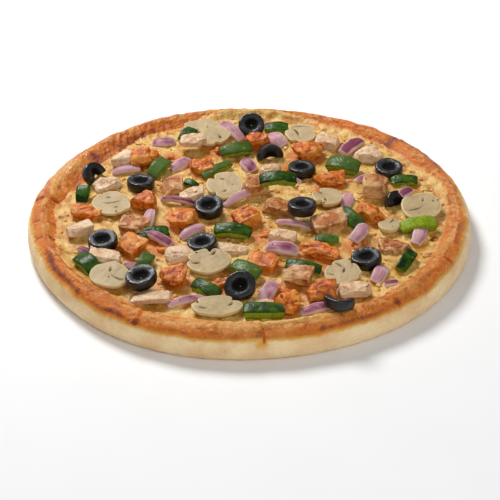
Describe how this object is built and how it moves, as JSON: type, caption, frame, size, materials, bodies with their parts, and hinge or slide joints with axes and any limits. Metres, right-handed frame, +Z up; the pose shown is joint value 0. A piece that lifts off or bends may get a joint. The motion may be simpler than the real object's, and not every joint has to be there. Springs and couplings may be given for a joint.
{
  "type": "pan pizza",
  "caption": "Thick round pan pizza with a raised crust, melted cheese, olive rings, mushroom slices, peppers, red onion and chicken.",
  "frame": {"origin": "centre of the flat underside of the crust", "axes": "+Z up out of the cheese, -Y towards the side that faces the viewer in the picture, +X to its right"},
  "size_m": [0.2554, 0.2526, 0.0308],
  "materials": {
    "crust": "golden baked crust, pale at the side",
    "cheese": "melted cheese, satin",
    "mushroom": "cooked mushroom slices, satin",
    "spiced_chicken": "orange spiced chicken, moist",
    "roast_chicken": "light brown chicken, moist",
    "pale_chicken": "pale chicken, moist",
    "pepper": "green pepper skin, glossy",
    "onion": "red onion, glossy",
    "olive": "black olive, glossy"
  },
  "bodies": {
    "root": {"pizza_crust": "crust", "melted_cheese": "cheese", "olive_ring_01": "olive", "olive_ring_02": "olive", "olive_ring_03": "olive", "olive_ring_04": "olive", "olive_ring_05": "olive", "olive_ring_06": "olive", "olive_ring_07": "olive", "olive_ring_08": "olive", "olive_ring_09": "olive", "olive_ring_10": "olive", "olive_ring_11": "olive", "olive_ring_12": "olive", "olive_ring_13": "olive", "olive_ring_14": "olive", "olive_ring_15": "olive", "mushroom_slice_01": "mushroom", "mushroom_slice_02": "mushroom", "mushroom_slice_03": "mushroom", "mushroom_slice_04": "mushroom", "mushroom_slice_05": "mushroom", "mushroom_slice_06": "mushroom", "mushroom_slice_07": "mushroom", "mushroom_slice_08": "mushroom", "mushroom_slice_09": "mushroom", "mushroom_slice_10": "mushroom", "mushroom_slice_11": "mushroom", "mushroom_slice_12": "mushroom", "spiced_chunk_01": "spiced_chicken", "spiced_chunk_02": "spiced_chicken", "spiced_chunk_03": "spiced_chicken", "spiced_chunk_04": "spiced_chicken", "spiced_chunk_05": "spiced_chicken", "spiced_chunk_06": "spiced_chicken", "spiced_chunk_07": "spiced_chicken", "spiced_chunk_08": "spiced_chicken", "spiced_chunk_09": "spiced_chicken", "spiced_chunk_10": "spiced_chicken", "spiced_chunk_11": "spiced_chicken", "spiced_chunk_12": "spiced_chicken", "brown_chunk_01": "roast_chicken", "brown_chunk_02": "roast_chicken", "brown_chunk_03": "roast_chicken", "brown_chunk_04": "roast_chicken", "brown_chunk_05": "roast_chicken", "pale_chunk_01": "pale_chicken", "pale_chunk_02": "pale_chicken", "pale_chunk_03": "pale_chicken", "pale_chunk_04": "pale_chicken", "pepper_piece_01": "pepper", "pepper_piece_02": "pepper", "pepper_piece_03": "pepper", "pepper_piece_04": "pepper", "pepper_piece_05": "pepper", "pepper_piece_06": "pepper", "pepper_piece_07": "pepper", "onion_petal_01": "onion", "onion_petal_02": "onion", "onion_petal_03": "onion"}
  },
  "joints": []
}
